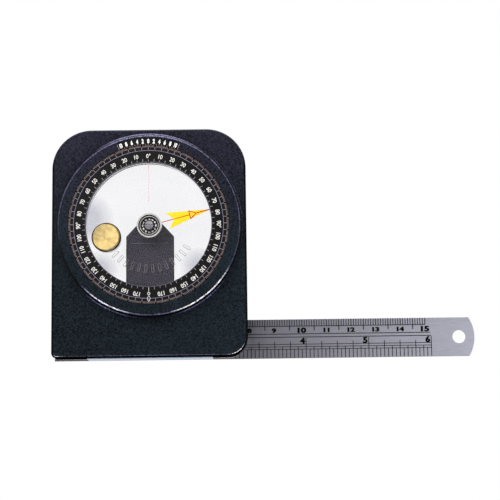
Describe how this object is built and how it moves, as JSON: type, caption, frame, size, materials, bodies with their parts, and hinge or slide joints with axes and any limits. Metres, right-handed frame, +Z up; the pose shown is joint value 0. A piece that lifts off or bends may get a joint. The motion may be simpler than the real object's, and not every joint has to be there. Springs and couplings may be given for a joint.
{
  "type": "inclinometer",
  "caption": "Pendulum inclinometer in a flat black case: rotating dial with a fixed vernier, weighted arrow on a ball bearing, clear window and a sliding steel rule through the base.",
  "frame": {"origin": "centre of the steel strip's lower face, which the tool stands on", "axes": "+Z up from the base, -Y the side that the dial faces, +X along the steel rule towards its hole"},
  "size_m": [0.17, 0.0222, 0.0926],
  "materials": {
    "case_plastic": "fine-grained moulded black plastic",
    "dial_plastic": "smooth satin black plastic",
    "inner_plastic": "plain black plastic",
    "bracket_plastic": "satin charcoal plastic",
    "clear_plastic": "clear polished acrylic",
    "screw_steel": "zinc-plated steel",
    "stud_steel": "turned steel",
    "bearing_steel": "ground bearing steel",
    "ball_chrome": "polished chrome steel",
    "cage_steel": "pressed steel",
    "strip_steel": "ground steel strip",
    "magnet_ferrite": "sintered ferrite",
    "spring_steel": "blued spring steel",
    "arrow_yellow": "yellow film",
    "weight_brass": "satin turned brass",
    "cup_chrome": "chrome-plated",
    "rule_steel": "brushed stainless steel with etched graduations"
  },
  "bodies": {
    "case": {"front_case": "case_plastic", "back_case": "case_plastic", "case_screws": "screw_steel", "vernier_plate": "dial_plastic", "dial_retainer": "inner_plastic", "bearing_bracket": "bracket_plastic", "bearing_stud": "stud_steel", "stud_nut": "stud_steel", "bearing_inner_race": "bearing_steel", "back_lens": "clear_plastic", "base_strip": "strip_steel", "base_magnets": "magnet_ferrite", "rule_spring": "spring_steel"},
    "dial": {"dial_ring": "dial_plastic", "front_lens": "clear_plastic"},
    "pendulum": {"pointer_disc": "clear_plastic", "pointer_arrow": "arrow_yellow", "pointer_weight": "weight_brass", "hub_cup": "cup_chrome", "bearing_outer_race": "bearing_steel"},
    "ball_cage": {"bearing_balls": "ball_chrome", "bearing_cage": "cage_steel"},
    "rule": {"steel_rule": "rule_steel"}
  },
  "joints": [
    {"name": "dial_turn", "type": "hinge", "parent": "case", "child": "dial", "pos_m": [0, 0, 0.0532], "axis": [0, 1, 0], "continuous": true},
    {"name": "pendulum_swing", "type": "hinge", "parent": "case", "child": "pendulum", "pos_m": [0, 0, 0.0532], "axis": [0, 1, 0], "continuous": true},
    {"name": "ball_cage_turn", "type": "hinge", "parent": "case", "child": "ball_cage", "pos_m": [0, 0, 0.0532], "axis": [0, 1, 0], "continuous": true},
    {"name": "rule_slide", "type": "slide", "parent": "case", "child": "rule", "axis": [1, 0, 0], "range_m": [-0.088, 0.026]}
  ],
  "couplings": [
    {"joint": "ball_cage_turn", "follows": "pendulum_swing", "ratio": 0.6132}
  ]
}
